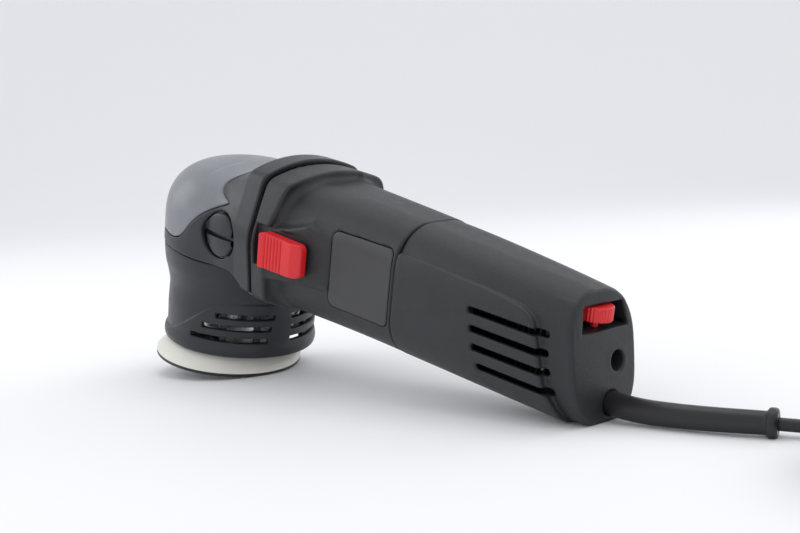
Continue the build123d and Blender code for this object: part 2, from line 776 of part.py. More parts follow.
def switch_rod():
    """The link from the slider to the power switch, past the side of the stator."""
    arm = block(69.0, 75.0, -25.9, -23.9, 73.2, 91.0)
    plan = [
        (69.0, -25.9), (71.5, -25.9), (82.0, -20.6), (160.0, -20.6), (160.0, -18.2), (81.3, -18.2),
        (74.0, -22.2), (69.0, -23.9),
    ]
    return arm + prism_xy(plan, 88.0, 91.0)


def power_switch():
    body = block(161.0, 179.5, -20.4, -7.0, 74.0, 90.0)
    tabs = [block(179.5, 184.5, y, y + 0.8, 78.0, 84.0) for y in (-17.0, -10.5)]
    return joined([body] + tabs)


def speed_dial():
    """The red thumb wheel with a knurled rim, on its short shaft."""
    wheel = post(DIAL_RADIUS, 84.7, 91.2, DIAL_X)
    notch = Pos(DIAL_X + DIAL_RADIUS + 0.15, 0, 88.0) * Rot(0, 0, 45) * Box(0.8, 0.8, 10.0)
    wheel = wheel - joined(around(24, notch, DIAL_X))
    return wheel + post(1.6, 81.0, 85.0, DIAL_X)


def circuit_board():
    board = block(194.0, 226.0, -14.5, 14.5, 76.4, 78.0)
    potentiometer = block(221.4, 228.8, -5.5, 5.5, 78.0, 80.1) - post(1.7, 77.0, 82.0, DIAL_X)
    capacitor = Pos(203.0, -6.0, 82.5) * Cylinder(5.0, 9.0)
    triac = block(210.0, 214.0, 2.0, 12.0, 78.0, 92.0)
    return joined([board, potentiometer, capacitor, triac])


CLAMP_SCREWS = (-6.0, 12.0)


def cord_clamp():
    plate = block(205.0, 213.0, -9.0, 15.0, 55.4, 58.6)
    return plate - joined([post(1.7, 55.0, 59.0, 209.0, y) for y in CLAMP_SCREWS])


def clamp_screws():
    screws = []
    for y in CLAMP_SCREWS:
        screws.append(post(1.6, 47.0, 59.0, 209.0, y) + post(2.9, 58.6, 60.6, 209.0, y))
    return screws


# ---------------------------------------------------------------- mains cord, floor frame


def bend_radii(route):
    """The largest arc that each corner of a route has room for."""
    radii = []
    for a, b, c in zip(route, route[1:], route[2:]):
        first = Vector(*b) - Vector(*a)
        second = Vector(*c) - Vector(*b)
        half_turn = math.radians(first.get_angle(second)) / 2
        radii.append(0.45 * min(first.length, second.length) / math.tan(half_turn))
    return radii


def tube(route, outer, inner=0.0):
    """A round tube along straight runs joined by tangent arcs."""
    radii = bend_radii(route)
    path = FilletPolyline(*route, radius=radii)
    ring = Circle(outer)
    if inner > 0:
        ring = ring - Circle(inner)
    solid = sweep(Plane(origin=path @ 0, z_dir=path % 0) * ring, path=path)
    area = math.pi * (outer ** 2 - inner ** 2)
    print("tube", round(path.length, 1), "long; volume over section x length",
          round(solid.volume / (area * path.length), 4), "; least radius", round(min(radii), 1))
    return solid


def facing(point, towards):
    """A plane at a point of a route, facing the next point."""
    direction = Vector(*towards) - Vector(*point)
    return Plane(origin=point, z_dir=direction)


def strain_relief():
    sleeve = tube(SLEEVE_ROUTE, SLEEVE_RADIUS, CORD_RADIUS + 0.05)
    last = facing(SLEEVE_ROUTE[-1], SLEEVE_ROUTE[-2])
    ring = last * (Pos(0, 0, 1.6) * (Cylinder(5.7, 3.2) - Cylinder(CORD_RADIUS + 0.05, 4.0)))
    first = facing(SLEEVE_ROUTE[0], SLEEVE_ROUTE[1])
    root = first * (Pos(0, 0, 1.5) * (Cylinder(7.5, 3.0) - Cylinder(CORD_RADIUS + 0.05, 4.0)))
    return sleeve + ring + root


def sleeve_hole():
    """Room for the strain relief in the tail, in the tool's frame."""
    first = facing(SLEEVE_ROUTE[0], SLEEVE_ROUTE[1])
    hole = first * (Pos(0, 0, 10.0) * Cylinder(SLEEVE_RADIUS + 0.15, 30.0))
    seat = first * (Pos(0, 0, 1.5) * Cylinder(7.7, 3.4))
    return Rot(0, -TILT, 0) * (Pos(0, 0, -FACE_HEIGHT) * (hole + seat))


def cord():
    return tube(CORD_ROUTE, CORD_RADIUS)


def cord_coil():
    ring = RectangleRounded(COIL_WIDTH, COIL_HEIGHT, CORD_RADIUS)
    where = Plane.XZ * Pos(COIL_RADIUS, COIL_BOTTOM + COIL_HEIGHT / 2)
    return Pos(COIL_X, COIL_Y, 0) * revolve(where * ring, Axis.Z)


def coil_tie():
    """A strap round the coil's turns, on the side away from the tool."""
    width = 12.0
    t = TIE_THICKNESS
    low = COIL_BOTTOM
    high = COIL_BOTTOM + COIL_HEIGHT
    near = COIL_RADIUS - COIL_WIDTH / 2 - 1.4
    far = COIL_RADIUS + COIL_WIDTH / 2 + 0.2
    band = block(near - t, far + t, -width / 2, width / 2, low - t, high + t)
    band = band - block(near, far, -width, width, low, high)
    return Pos(COIL_X, COIL_Y, 0) * Rot(0, 0, -20) * band


def cord_end():
    return tube(CORD_END_ROUTE, CORD_RADIUS)


def plug_body():
    """A flat two-pin plug, narrower towards the cord."""
    x, y, z = CORD_END_ROUTE[-1]
    where = facing((x, y, z), CORD_END_ROUTE[-2])
    turn = where.location
    rear = Plane.XY.offset(-2.0) * RectangleRounded(10.0, 10.0, 4.0)
    middle = Plane.XY.offset(-14.0) * RectangleRounded(22.0, 13.6, 5.0)
    front = Plane.XY.offset(-36.0) * RectangleRounded(35.0, 13.6, 5.0)
    return turn * (loft([rear, middle, front]) + Pos(0, 0, -1.0) * Cylinder(3.6, 2.0))


def plug_pins():
    x, y, z = CORD_END_ROUTE[-1]
    turn = facing((x, y, z), CORD_END_ROUTE[-2]).location
    pins = []
    for side in (-9.3, 9.3):
        pins.append(turn * (Pos(side, 0, -45.5) * Cylinder(2.0, 19.0)))
    return pins


# ---------------------------------------------------------------- assembly


TOOL_PARTS = {
    "hook_layer": hook_layer(),
    "backing_plate": backing_plate(),
    "plate_hub": plate_hub(),
    "plate_bolt": plate_bolt(),
    "eccentric_stud": eccentric_stud(),
    "lower_plate_bearing": plate_bearing(20.4),
    "upper_plate_bearing": plate_bearing(28.4),
    "bearing_clip": bearing_clip(),
    "counterweight": counterweight(),
    "spindle": spindle(),
    "crown_gear": crown_gear(),
    "lower_spindle_bearing": lower_spindle_bearing(),
    "upper_spindle_bearing": upper_spindle_bearing(),
    "bearing_cover": bearing_cover(),
    "bearing_cover_screws": cover_ring_screws(),
    "gearbox_housing": gearbox_housing(),
    "gearbox_screws": gearbox_screws(),
    "head_cap": head_cap(),
    "head_collar": head_collar(),
    "neck_shroud": neck_shroud(),
    "side_plug_left": side_plug(-1),
    "side_plug_right": side_plug(1),
    "pinion": pinion(),
    "front_armature_bearing": front_armature_bearing(),
    "bearing_retainer": bearing_retainer(),
    "armature_shaft": armature_shaft(),
    "armature_core": armature_core(),
    "armature_windings": armature_windings(),
    "commutator": commutator(),
    "cooling_fan": cooling_fan(),
    "fan_baffle": fan_baffle(),
    "stator_core": stator_core(),
    "field_coils": field_coils(),
    "brush_holders": brush_holders(),
    "carbon_brushes": carbon_brushes(),
    "brush_springs": brush_springs(),
    "rear_armature_bearing": rear_armature_bearing(),
    "bearing_sleeve": bearing_sleeve(),
    "bearing_bracket": bearing_bracket(),
    "bracket_screws": bracket_screws(),
    "motor_housing": motor_housing(),
    "side_inlay_left": side_inlay(-1),
    "side_inlay_right": side_inlay(1),
    "rear_cover": rear_cover(),
    "cover_screw": cover_screw(),
    "vent_screens": vent_screens(),
    "slide_button": slide_button(),
    "switch_rod": switch_rod(),
    "power_switch": power_switch(),
    "speed_dial": speed_dial(),
    "circuit_board": circuit_board(),
    "cord_clamp": cord_clamp(),
    "clamp_screws": clamp_screws(),
}

CORD_PARTS = {
    "strain_relief": strain_relief(),
    "cord": cord(),
    "cord_coil": cord_coil(),
    "coil_tie": coil_tie(),
    "cord_end": cord_end(),
    "plug_body": plug_body(),
    "plug_pins": plug_pins(),
}


def moved(node, where):
    """One closed shape for a node, which may be a list of separate solids."""
    pieces = node if isinstance(node, list) else [node]
    solids = [where * solid for piece in pieces for solid in piece.solids()]
    return solids[0] if len(solids) == 1 else Compound(children=solids)


AT_REST = Pos(*ROW_SHIFT) * Pos(0, 0, FACE_HEIGHT) * Rot(0, TILT, 0)
placed = {name: moved(node, AT_REST) for name, node in TOOL_PARTS.items()}
placed.update({name: moved(node, Pos(*ROW_SHIFT)) for name, node in CORD_PARTS.items()})

os.makedirs("parts", exist_ok=True)
for name, shape in placed.items():
    export_step(shape, f"parts/{name}.step")

boxes = [placed[name].bounding_box() for name in TOOL_PARTS]
for axis in "XYZ":
    low = min(getattr(box.min, axis) for box in boxes)
    high = max(getattr(box.max, axis) for box in boxes)
    print("tool", axis, round(low, 3), "to", round(high, 3))
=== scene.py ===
import json
import math

import bpy
import numpy as np
from mathutils import Matrix, Vector


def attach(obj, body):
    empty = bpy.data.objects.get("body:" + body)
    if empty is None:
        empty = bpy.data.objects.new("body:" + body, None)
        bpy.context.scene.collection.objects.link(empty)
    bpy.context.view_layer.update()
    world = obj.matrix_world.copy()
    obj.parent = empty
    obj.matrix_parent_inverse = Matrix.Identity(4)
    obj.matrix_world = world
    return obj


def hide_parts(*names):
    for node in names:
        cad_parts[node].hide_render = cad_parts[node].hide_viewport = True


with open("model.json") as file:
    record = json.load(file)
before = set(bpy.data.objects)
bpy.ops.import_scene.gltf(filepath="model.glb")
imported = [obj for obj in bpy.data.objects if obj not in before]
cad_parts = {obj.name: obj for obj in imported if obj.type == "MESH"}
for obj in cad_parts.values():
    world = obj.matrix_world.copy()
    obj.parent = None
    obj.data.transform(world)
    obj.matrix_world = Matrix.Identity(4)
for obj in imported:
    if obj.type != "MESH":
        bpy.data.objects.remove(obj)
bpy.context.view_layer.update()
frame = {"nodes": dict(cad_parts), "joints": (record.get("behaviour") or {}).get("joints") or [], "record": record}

# Dual action polisher: the looks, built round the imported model.
#
# The shells are modelled in the tool's own frame in millimetres (the spindle's axis is z, the
# plate's face is z = 0, x runs towards the tail and y to the user's right) as signed distance
# fields: negative inside, positive outside. surface() turns a field into a mesh. The cord is in the
# floor's frame in millimetres, as the part's source has it.

MM = 0.001

# ---------------------------------------------------------------- the tool's frame

joints = {joint["name"]: joint for joint in frame["joints"]}
ORIGIN = np.array(joints["spindle_spin"]["pos_m"])
UP = np.array(joints["spindle_spin"]["axis"])
TAILWARDS = -np.array(joints["switch_slide"]["axis"])
ACROSS = np.cross(UP, TAILWARDS)
AXES = np.array([TAILWARDS, ACROSS, UP])
TILT = math.atan2(UP[0], UP[2])
FLOOR_ORIGIN = np.array([ORIGIN[0], ORIGIN[1], 0.0])


def from_tool(points):
    """Points in the tool's frame, in millimetres, to the shared frame in metres."""
    return ORIGIN + np.asarray(points, float) * MM @ AXES


def from_floor(points):
    """Points in the floor's frame, in millimetres, to the shared frame in metres."""
    return FLOOR_ORIGIN + np.asarray(points, float) * MM


# ---------------------------------------------------------------- objects


def add_object(name, data, body, material, replaced=()):
    obj = bpy.data.objects.new(name, data)
    bpy.context.scene.collection.objects.link(obj)
    data.materials.append(material)
    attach(obj, body)
    if replaced:
        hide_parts(*replaced)
    return obj


def mesh_from(name, points, faces):
    mesh = bpy.data.meshes.new(name)
    mesh.from_pydata([tuple(p) for p in points], [], [tuple(f) for f in faces])
    mesh.update()
    mesh.polygons.foreach_set("use_smooth", [True] * len(mesh.polygons))
    return mesh


# ---------------------------------------------------------------- fields


def larger(a, b, blend):
    """The larger of two fields (their common part), with its edge rounded."""
    h = np.clip(blend - np.abs(a - b), 0.0, None)
    return np.maximum(a, b) + h * h / (4.0 * blend)


def smaller(a, b, blend):
    """The smaller of two fields (both together), with its corner filled."""
    return -larger(-a, -b, blend)


def less(a, b, blend):
    """The first field without the second."""
    return larger(a, -b, blend)


def rounded_box(u, v, half_u, half_v, corner):
    """A rounded rectangle in a plane."""
    a = np.abs(u) - half_u + corner
    b = np.abs(v) - half_v + corner
    outside = np.hypot(np.maximum(a, 0.0), np.maximum(b, 0.0))
    return outside + np.minimum(np.maximum(a, b), 0.0) - corner


def through(points, per_span=6):
    """Points on a smooth curve through the given ones."""
    p = np.array(points, float)
    ends = np.vstack([2 * p[0] - p[1], p, 2 * p[-1] - p[-2]])
    rows = []
    for a, b, c, d in zip(ends, ends[1:], ends[2:], ends[3:]):
        for t in np.arange(per_span) / per_span:
            rows.append(0.5 * (2 * b + (c - a) * t + (2 * a - 5 * b + 4 * c - d) * t * t
                               + (3 * b - a - 3 * c + d) * t ** 3))
    return np.array(rows + [p[-1]])


def polygon(u, v, corners):
    """Signed distance to a closed outline in a plane."""
    c = np.array(corners, float)
    u, v = np.broadcast_arrays(u, v)
    nearest = np.full(u.shape, 1e9)
    inside = np.zeros(u.shape, bool)
    for (au, av), (bu, bv) in zip(c, np.roll(c, -1, axis=0)):
        du = bu - au
        dv = bv - av
        t = np.clip(((u - au) * du + (v - av) * dv) / (du * du + dv * dv + 1e-12), 0.0, 1.0)
        nearest = np.minimum(nearest, (u - au - t * du) ** 2 + (v - av - t * dv) ** 2)
        if av != bv:
            crosses = ((av <= v) != (bv <= v)) & (u < au + (v - av) * du / dv)
            inside = inside ^ crosses
    return np.where(inside, -1.0, 1.0) * np.sqrt(nearest)


def quadratic(x, rows, column):
    """A value along x: the parabola through three stations."""
    (x0, x1, x2) = [row[0] for row in rows]
    (a, b, c) = [row[column] for row in rows]
    return (a * (x - x1) * (x - x2) / ((x0 - x1) * (x0 - x2))
            + b * (x - x0) * (x - x2) / ((x1 - x0) * (x1 - x2))
            + c * (x - x0) * (x - x1) / ((x2 - x0) * (x2 - x1)))


def surface(field, low, high, step):
    """A mesh of the field's zero surface in a box: one vertex per crossed cell, moved onto the surface."""
    axes = [np.arange(a, b + step, step) for a, b in zip(low, high)]
    grid = [axes[0][:, None, None], axes[1][None, :, None], axes[2][None, None, :]]
    size = tuple(len(a) for a in axes)
    values = np.broadcast_to(field(*grid), size)
    inside = values < 0
    strides = np.array([size[1] * size[2], size[2], 1])
    quads = []
    owners = []
    places = []
    for axis in range(3):
        near = [slice(None)] * 3
        far = [slice(None)] * 3
        near[axis] = slice(None, -1)
        far[axis] = slice(1, None)
        near = tuple(near)
        far = tuple(far)
        at = np.argwhere(inside[near] != inside[far])
        others = [k for k in range(3) if k != axis]
        keep = np.all((at[:, others] > 0) & (at[:, others] < np.array(size)[others] - 1), axis=1)
        at = at[keep]
        a = values[near][tuple(at.T)]
        b = values[far][tuple(at.T)]
        place = at.astype(float)
        place[:, axis] += a / (a - b)
        base = at @ strides
        u = strides[(axis + 1) % 3]
        v = strides[(axis + 2) % 3]
        ring = np.stack([base, base - u, base - u - v, base - v], axis=1)
        outward = a < b
        ring[~outward] = ring[~outward][:, ::-1]
        quads.append(ring)
        owners.append(ring.reshape(-1))
        places.append(np.repeat(place, 4, axis=0))
    quads = np.concatenate(quads)
    owners = np.concatenate(owners)
    places = np.concatenate(places)
    used, slot = np.unique(owners, return_inverse=True)
    count = np.bincount(slot)
    points = np.stack([np.bincount(slot, places[:, k]) / count for k in range(3)], axis=1)
    points = points * step + np.array(low)
    reach = 0.02
    for _ in range(3):
        value = field(*points.T)
        slope = np.stack([field(*(points + reach * unit).T) - field(*(points - reach * unit).T)
                          for unit in np.eye(3)], axis=1) / (2 * reach)
        size2 = np.maximum((slope ** 2).sum(axis=1), 0.2)
        shift = np.clip(value / size2, -0.5 * step, 0.5 * step)
        points = points - shift[:, None] * slope
    return points, np.searchsorted(used, quads)


def shell_piece(name, field, low, high, step, body, material, replaced):
    points, faces = surface(field, low, high, step)
    mesh = mesh_from(name, from_tool(points), faces)
    return add_object(name, mesh, body, material, replaced)


# ---------------------------------------------------------------- materials


def material_nodes(name):
    material = bpy.data.materials.new(name)
    material.use_nodes = True
    nodes = material.node_tree.nodes
    return material, nodes, material.node_tree.links, nodes["Principled BSDF"]


def noise(nodes, links, coordinates, scale, detail=2.0):
    texture = nodes.new("ShaderNodeTexNoise")
    texture.inputs["Scale"].default_value = scale
    texture.inputs["Detail"].default_value = detail
    links.new(coordinates.outputs["Object"], texture.inputs["Vector"])
    return texture


def spread(nodes, links, source, low, high):
    """Maps a texture's middle range onto low..high."""
    mapped = nodes.new("ShaderNodeMapRange")
    mapped.inputs["From Min"].default_value = 0.3
    mapped.inputs["From Max"].default_value = 0.7
    mapped.inputs["To Min"].default_value = low
    mapped.inputs["To Max"].default_value = high
    links.new(source, mapped.inputs["Value"])
    return mapped.outputs["Result"]


GRAIN_HEIGHT = 0.0004


def moulded(name, colour, roughness, grain=2600.0, depth=0.06, metallic=0.0, vary=0.08, specular=0.5,
            sheen=0.0):
    """A moulded, cast or turned surface: fine grain, slow changes of gloss, faint changes of colour."""
    material, nodes, links, shader = material_nodes(name)
    shader.inputs["Metallic"].default_value = metallic
    shader.inputs["Specular IOR Level"].default_value = specular
    shader.inputs["Sheen Weight"].default_value = sheen
    coordinates = nodes.new("ShaderNodeTexCoord")
    slow = noise(nodes, links, coordinates, 60.0, 3.0)
    ramp = nodes.new("ShaderNodeValToRGB")
    ramp.color_ramp.elements[0].position = 0.3
    ramp.color_ramp.elements[1].position = 0.7
    ramp.color_ramp.elements[0].color = (*[c * (1 - vary) for c in colour], 1.0)
    ramp.color_ramp.elements[1].color = (*[min(c * (1 + vary), 1.0) for c in colour], 1.0)
    links.new(slow.outputs["Fac"], ramp.inputs["Fac"])
    links.new(ramp.outputs["Color"], shader.inputs["Base Color"])
    middling = noise(nodes, links, coordinates, 240.0, 2.0)
    rough = spread(nodes, links, middling.outputs["Fac"], roughness - 0.04, roughness + 0.04)
    links.new(rough, shader.inputs["Roughness"])
    fine = noise(nodes, links, coordinates, grain, 2.0)
    bump = nodes.new("ShaderNodeBump")
    bump.inputs["Strength"].default_value = depth
    bump.inputs["Distance"].default_value = GRAIN_HEIGHT
    links.new(fine.outputs["Fac"], bump.inputs["Height"])
    links.new(bump.outputs["Normal"], shader.inputs["Normal"])
    return material


BLACK = moulded("black_shell", (0.020, 0.021, 0.024), 0.42, grain=1900.0, depth=0.5, specular=0.4)
BLACK_SATIN = moulded("black_satin", (0.022, 0.024, 0.029), 0.38, grain=2200.0, depth=0.16, specular=0.4)
GREY = moulded("grey_shell", (0.20, 0.212, 0.23), 0.36, depth=0.06)
INLAY = moulded("inlay", (0.036, 0.036, 0.039), 0.36, depth=0.08)
RED = moulded("red_plastic", (0.70, 0.014, 0.020), 0.34, depth=0.04, vary=0.04)
CREAM = moulded("pad_foam", (0.80, 0.79, 0.72), 0.55, grain=1500.0, depth=0.05, vary=0.02)
FABRIC = moulded("hook_fabric", (0.015, 0.015, 0.017), 0.85, grain=1400.0, depth=1.0, sheen=0.3)
RUBBER = moulded("rubber", (0.010, 0.010, 0.011), 0.36, depth=0.12)
INNER = moulded("inner_plastic", (0.055, 0.056, 0.060), 0.55)
CAST = moulded("cast_aluminium", (0.60, 0.61, 0.62), 0.42, grain=900.0, depth=0.25, metallic=1.0)
STEEL = moulded("steel", (0.55, 0.56, 0.58), 0.25, metallic=1.0)
ZINC = moulded("zinc_steel", (0.62, 0.61, 0.57), 0.32, metallic=1.0)
LAMINATION = moulded("lamination", (0.33, 0.34, 0.36), 0.45, metallic=1.0, depth=0.3)
COPPER = moulded("copper", (0.65, 0.30, 0.15), 0.30, metallic=1.0, depth=0.3)
BRASS = moulded("brass", (0.75, 0.58, 0.28), 0.28, metallic=1.0)
CARBON = moulded("carbon", (0.04, 0.04, 0.045), 0.6)
BOARD = moulded("board", (0.03, 0.19, 0.09), 0.3)
# painted shade: near black and almost unreflective, so the vent slots look dark as if shaded
SHADE = moulded("shade", (0.0012, 0.0012, 0.0013), 0.8, specular=0.05)
BY_SLOT = {
    "black_shell": BLACK, "grey_shell": GREY, "inlay": INLAY, "red_plastic": RED, "pad_foam": CREAM,
    "hook_fabric": FABRIC, "rubber": RUBBER, "inner_plastic": INNER, "cast_aluminium": CAST,
    "steel": STEEL, "zinc_steel": ZINC, "lamination": LAMINATION, "copper": COPPER, "brass": BRASS,
    "carbon": CARBON, "board": BOARD,
}

for part in frame["record"]["subparts"]:
    for material_slot in frame["nodes"][part["node"]].material_slots:
        material_slot.material = BY_SLOT[part["material_slot"]]
# the vent screens get the painted shade material instead of their own colour
for material_slot in frame["nodes"]["vent_screens"].material_slots:
    material_slot.material = SHADE

# ---------------------------------------------------------------- head

HEAD_RADIUS = 41.7
DOME_FROM = 71.0
DOME_HEIGHT = 32.6
DOME_POWER = 2.68
SHELL = 2.5
SEAM = 0.4
COLLAR_END = 49.3
BAND_START = 38.0
EDGE = 0.9
FLANGE = {"shoulder": (29.0, 105.3), "side": (37.3, 78.0), "foot": (34.5, 49.0), "top": 111.2, "low": 42.0}
COLLAR_RIM = {
    "shoulder": (29.8, 106.6), "side": (37.9, 78.0), "foot": (34.5, 49.0), "top": 113.2, "low": 42.0}
HEAD_END = {"shoulder": (27.0, 98.0), "side": (39.5, 76.0), "foot": (37.0, 54.0), "top": 103.8, "low": 50.0}
PLUG_X = 27.0
PLUG_Z = 73.6


def half_plane(y, z, near, far):
    """Distance outside the line from near to far, on its right."""
    dy = far[0] - near[0]
    dz = far[1] - near[1]
    length = np.hypot(dy, dz)
    return ((y - near[0]) * -dz + (z - near[1]) * dy) / length


def crown(y, z, corner, level, upwards):
    """Distance outside the arc over two mirrored corners, through a level on the middle line."""
    rise = (level - corner[1]) * upwards
    radius = (corner[0] ** 2 + rise ** 2) / (2 * rise)
    return np.hypot(y, z - level + upwards * radius) - radius


def rim_outline(y, z, shape, corner=5.0, inset=0.0):
    """The six-cornered outline of the flange, its top and bottom crowned."""
    side = np.abs(y)
    upper = half_plane(side, z, shape["side"], shape["shoulder"])
    lower = half_plane(side, z, shape["foot"], shape["side"])
    top = crown(y, z, shape["shoulder"], shape["top"], 1.0)
    low = crown(y, z, shape["foot"], shape["low"], -1.0)
    return larger(larger(-upper, -lower, corner * 0.7), larger(top, low, corner), corner) + inset


def between(first, last, share):
    """A shape part of the way from one outline to another."""
    mixed = {}
    for key, value in first.items():
        if isinstance(value, tuple):
            mixed[key] = tuple(a + (b - a) * share for a, b in zip(value, last[key]))
        else:
            mixed[key] = value + (last[key] - value) * share
    return mixed


def dome(x, y, z, inset=0.0):
    """The round head: upright below, domed above."""
    radius = HEAD_RADIUS - inset
    rise = np.maximum(z - DOME_FROM, 0.0) / (DOME_HEIGHT - inset)
    out = np.hypot(x, y) / radius
    return ((out ** DOME_POWER + rise ** DOME_POWER) ** (1 / DOME_POWER) - 1.0) * radius


def flare(x, y, z, inset=0.0):
    """The head's widening towards the flange."""
    share = np.clip((x - 10.0) / (BAND_START - 10.0), 0.0, 1.0) ** 2.2
    outline = rim_outline(y, z, between(HEAD_END, COLLAR_RIM, share), 3.0) + inset
    return larger(outline, 8.0 - x, 1.0)


def head_body(x, y, z, inset=0.0):
    return smaller(dome(x, y, z, inset), flare(x, y, z, inset), 4.0)


def head_shell(x, y, z):
    outer = head_body(x, y, z)
    return less(outer, head_body(x, y, z, SHELL), 0.5)


SEAM_LINE = through([
    (-60, 61.3), (-19, 59.6), (10, 57.7), (26, 57.4), (35, 56.7), (42, 51.9), (46, 50.0), (70, 49.6)])
CAP_EDGE = through([
    (-60, 66.0), (-19, 66.5), (-11, 65.8), (-4, 66.0), (1, 68.4), (6.2, 73.9), (11.4, 79.7), (18, 84.6),
    (27.5, 89.2)])
CAP_LOBE = through([(27.5, 89.2), (21.0, 91.8), (18.4, 94.8), (19.0, 98.2), (23.5, 102.0), (31.0, 107.0)])


def above_seam(x, z):
    """Height over the seam between neck and collar."""
    level = np.interp(x, SEAM_LINE[:, 0], SEAM_LINE[:, 1])
    return (z - level) * 0.93


def cap_area(x, z):
    outline = np.vstack([CAP_EDGE[:-1], CAP_LOBE, [(31, 130), (-60, 130)]])
    return polygon(x, z, outline)


def head_cap_field(x, y, z):
    area = larger(cap_area(x, z), x - 34.0, 0.6)
    return larger(head_shell(x, y, z), area, EDGE)


def plug_seat(x, y, z, radius):
    return larger(np.hypot(x - PLUG_X, z - PLUG_Z) - radius, 33.2 - np.abs(y), 0.6)


def head_collar_field(x, y, z):
    field = larger(head_shell(x, y, z), SEAM - cap_area(x, z), EDGE)
    field = larger(field, SEAM * 0.5 - above_seam(x, z), EDGE)
    field = larger(field, x - COLLAR_END, EDGE)
    return less(field, plug_seat(x, y, z, 11.5), 0.7)


# ---------------------------------------------------------------- neck

NECK_PROFILE = through([
    (9.0, 36.6), (9.6, 38.2), (12.4, 38.9), (15.0, 38.5), (17.0, 38.05), (20.0, 38.0), (28.0, 38.1),
    (34.0, 37.9), (39.2, 37.9), (45.5, 39.2), (50.0, 40.4), (56.0, 41.2), (62.0, 41.5)])
NECK_INNER = 35.6
PANEL_SIDE = [
    (25, 37.2), (42, 37.0), (55, 35.6), (66, 31.8), (76, 27.2), (86, 22.6), (100, 17.6), (118, 15.6),
    (150, 15.0), (200, 15.0)]
PANEL_TOP = through([(-angle, level) for angle, level in PANEL_SIDE[::-1]] + PANEL_SIDE)
SLOT_ROWS = [(18.3, -78.0, -16.0, 95.0), (24.4, -68.0, -13.5, 82.0), (30.4, -57.0, -11.0, 70.0)]
SLOT_FIRST = 3.0
SLOT_TALL = 1.25
RIBS = (-52.0, -24.0, 28.0, 52.0)


def neck_slots(angle, radius, z):
    """The rows of air slots, measured round the skirt."""
    field = 1e3
    for height, start, end, far in SLOT_ROWS:
        for a, b in ((start, end), (SLOT_FIRST, far)):
            middle = (a + b) / 2
            along = (angle - middle) * math.pi / 180 * radius
            slot = rounded_box(along, z - height, (b - a) / 2 * math.pi / 180 * radius, SLOT_TALL, 0.5)
            field = np.minimum(field, slot)
    return field


def neck_field(x, y, z):
    radius = np.hypot(x, y)
    angle = np.degrees(np.arctan2(y, x))
    outer = radius - np.interp(z, NECK_PROFILE[:, 0], NECK_PROFILE[:, 1])
    panel = (z - np.interp(angle, PANEL_TOP[:, 0], PANEL_TOP[:, 1])) * 0.85
    outer = smaller(outer, larger(outer - 0.55, panel, 0.6), 0.3)
    inner = radius - NECK_INNER - 3.0 * np.clip((z - 44.0) / 10.0, 0.0, 1.0)
    field = less(outer, inner, 0.5)
    field = larger(field, 9.0 - z, 1.2)
    field = larger(field, above_seam(x, z) + SEAM * 0.5, EDGE)
    field = less(field, larger(np.hypot(y, z - 73.0) - 28.0, 20.0 - x, 0.5), 0.5)
    field = less(field, neck_slots(angle, 38.0, z), 0.5)
    for rib in RIBS:
        side = (angle - rib) * math.pi / 180 * 34.0
        bar = larger(np.abs(side) - 1.6, np.abs(radius - 34.6) - 1.3, 0.4)
        bar = larger(bar, np.abs(z - 24.5) - 9.5, 0.4)
        field = smaller(field, bar, 0.4)
    return field


# ---------------------------------------------------------------- plugs


def plug_field(x, y, z):
    """A round plug with a dished face and a coin slot."""
    out = np.abs(y)
    radius = np.hypot(x - PLUG_X, z - PLUG_Z)
    disc = larger(radius - 10.7, out - 38.6 + 0.010 * radius ** 2, 1.2)
    disc = larger(disc, 33.2 - out, 0.3)
    slot = larger(np.abs(z - PLUG_Z) - 0.9 - 0.10 * (out - 36.0), 35.6 - out, 0.4)
    return less(disc, slot, 0.6)


# ---------------------------------------------------------------- motor housing

FLANGE_FRONT = 51.2
FLANGE_BACK = 61.0
COVER_FRONT = 137.7
SWITCH_Z = 76.0
CHANNEL_HALF = 9.6
CHANNEL_FRONT = 53.0
BARREL = [(60.0, 30.0, 106.2, 43.0, 20.0), (98.0, 27.0, 105.4, 43.0, 20.0), (137.7, 26.0, 103.3, 43.0, 19.5)]
TAIL = [(137.7, 26.0, 103.3, 43.0, 19.5), (180.0, 25.3, 100.7, 42.6, 19.0), (223.0, 24.0, 97.6, 42.4, 18.0)]
TIP = [(137.7, 25.7, 103.3, 43.0, 19.5), (200.0, 22.9, 99.3, 42.8, 19.0), (235.0, 20.4, 96.6, 42.4, 18.6)]
OVAL = [(180.0, 25.6, 33.0), (210.0, 22.9, 30.2), (236.0, 20.8, 27.9)]
OVAL_POWER = 2.7
LOWEST_X = 56.0


def barrel(x, y, z, rows):
    x = np.maximum(x, LOWEST_X)
    half = quadratic(x, rows, 1)
    top = quadratic(x, rows, 2)
    low = quadratic(x, rows, 3)
    corner = quadratic(x, rows, 4)
    return rounded_box(y, z - (top + low) / 2, half, (top - low) / 2, corner)


def flange_back(y, z):
    """Where the rim's rear edge is: further back at the top and on the user's right."""
    return FLANGE_BACK + np.maximum(0.26 * np.maximum(z - 84.0, 0.0), 7.5 * np.clip(y / 15.0, 0.0, 1.0))


def flange_solid(x, y, z):
    """The rim that meets the head, its rear edge bevelled."""
    back = flange_back(y, z)
    return larger(rim_outline(y, z, FLANGE, 3.0), (x - back) * 0.95, 1.6)


def switch_cheek(x, y, z):
    """The raised cheek round the slide switch, on the user's left."""
    share = np.clip((x - 60.0) / 38.0, 0.0, 1.0)
    top = np.interp(x, (58.0, 84.0, 98.0), (87.0, 92.5, 86.6))
    low = 61.0 + 3.0 * share
    side = 36.0 - 8.4 * share
    lid = (z - top) * 0.8 + (-y - 27.0) * 0.45
    field = larger(lid, low - z, 3.0)
    field = larger(field, -y - side, 1.2)
    field = larger(field, y + 8.0, 1.0)
    return larger(larger(field, x - 98.0, 2.0), 58.0 - x, 1.0)


def housing_outer(x, y, z):
    body = barrel(x, y, z, BARREL)
    body = smaller(body, flange_solid(x, y, z), 5.0)
    return smaller(body, switch_cheek(x, y, z), 2.0)


